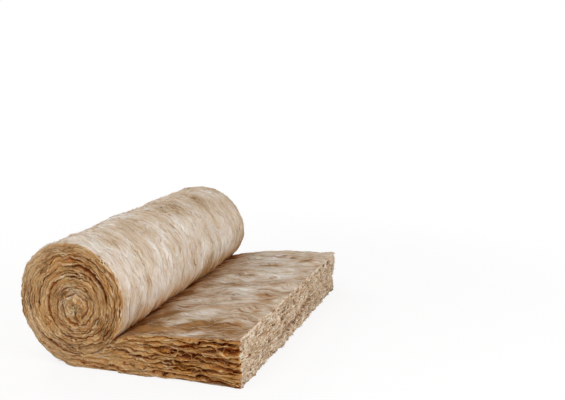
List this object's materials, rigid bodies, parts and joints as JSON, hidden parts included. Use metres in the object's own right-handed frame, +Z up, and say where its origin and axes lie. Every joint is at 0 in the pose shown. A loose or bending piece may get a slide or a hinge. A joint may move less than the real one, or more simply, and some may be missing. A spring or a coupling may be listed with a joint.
{
  "type": "insulation roll",
  "caption": "Partly unrolled blanket of brown glass wool: a wide roll wound in a spiral, with its thick outer end laid flat and cut square.",
  "frame": {"origin": "on the floor, under the middle of the blanket's bounding box", "axes": "+X along the laid-out tail towards its cut end, +Y along the roll's axis, +Z up"},
  "size_m": [0.835, 1.2, 0.4559],
  "materials": {
    "glass_wool": "matt, fibrous, streaked light brown glass wool"
  },
  "bodies": {
    "root": {"wool_blanket": "glass_wool"}
  },
  "joints": []
}
